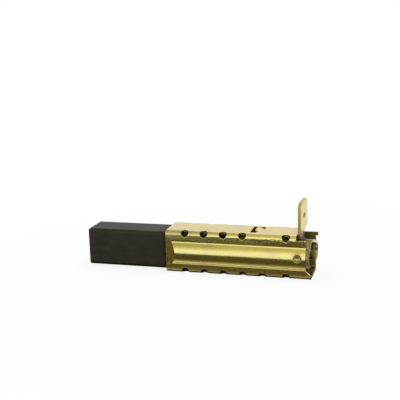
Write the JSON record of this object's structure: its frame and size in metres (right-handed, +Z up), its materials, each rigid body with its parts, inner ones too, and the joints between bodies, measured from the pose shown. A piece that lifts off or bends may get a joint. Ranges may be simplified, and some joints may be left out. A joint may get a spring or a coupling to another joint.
{
  "type": "carbon brush",
  "caption": "Motor carbon brush: rectangular carbon sprung in a folded brass sheet holder with embossed channels, punched folds and an upright push-on tab.",
  "frame": {"origin": "middle of the holder's flat underside", "axes": "+X along the holder from the mouth to the terminal, +Y across it, +Z up towards the tab"},
  "size_m": [0.0656, 0.0138, 0.0213],
  "materials": {
    "brass_sheet": "bright rolled sheet",
    "terminal_brass": "satin rolled strip",
    "carbon": "ground electrographite, matte",
    "spring_wire": "drawn stainless wire",
    "copper": "bare copper"
  },
  "bodies": {
    "holder": {"holder_tube": "brass_sheet", "terminal_clip": "terminal_brass", "shunt_weld": "copper", "brush_spring": "spring_wire", "shunt_lead": "copper"},
    "brush": {"carbon_block": "carbon", "shunt_plug": "copper"}
  },
  "joints": [
    {"name": "carbon_slide", "type": "slide", "parent": "holder", "child": "brush", "axis": [1, 0, 0], "range_m": [0, 0.0238], "stiffness_N_per_m": 110, "springref_m": -0.006, "deforming": ["brush_spring", "shunt_lead"]}
  ]
}
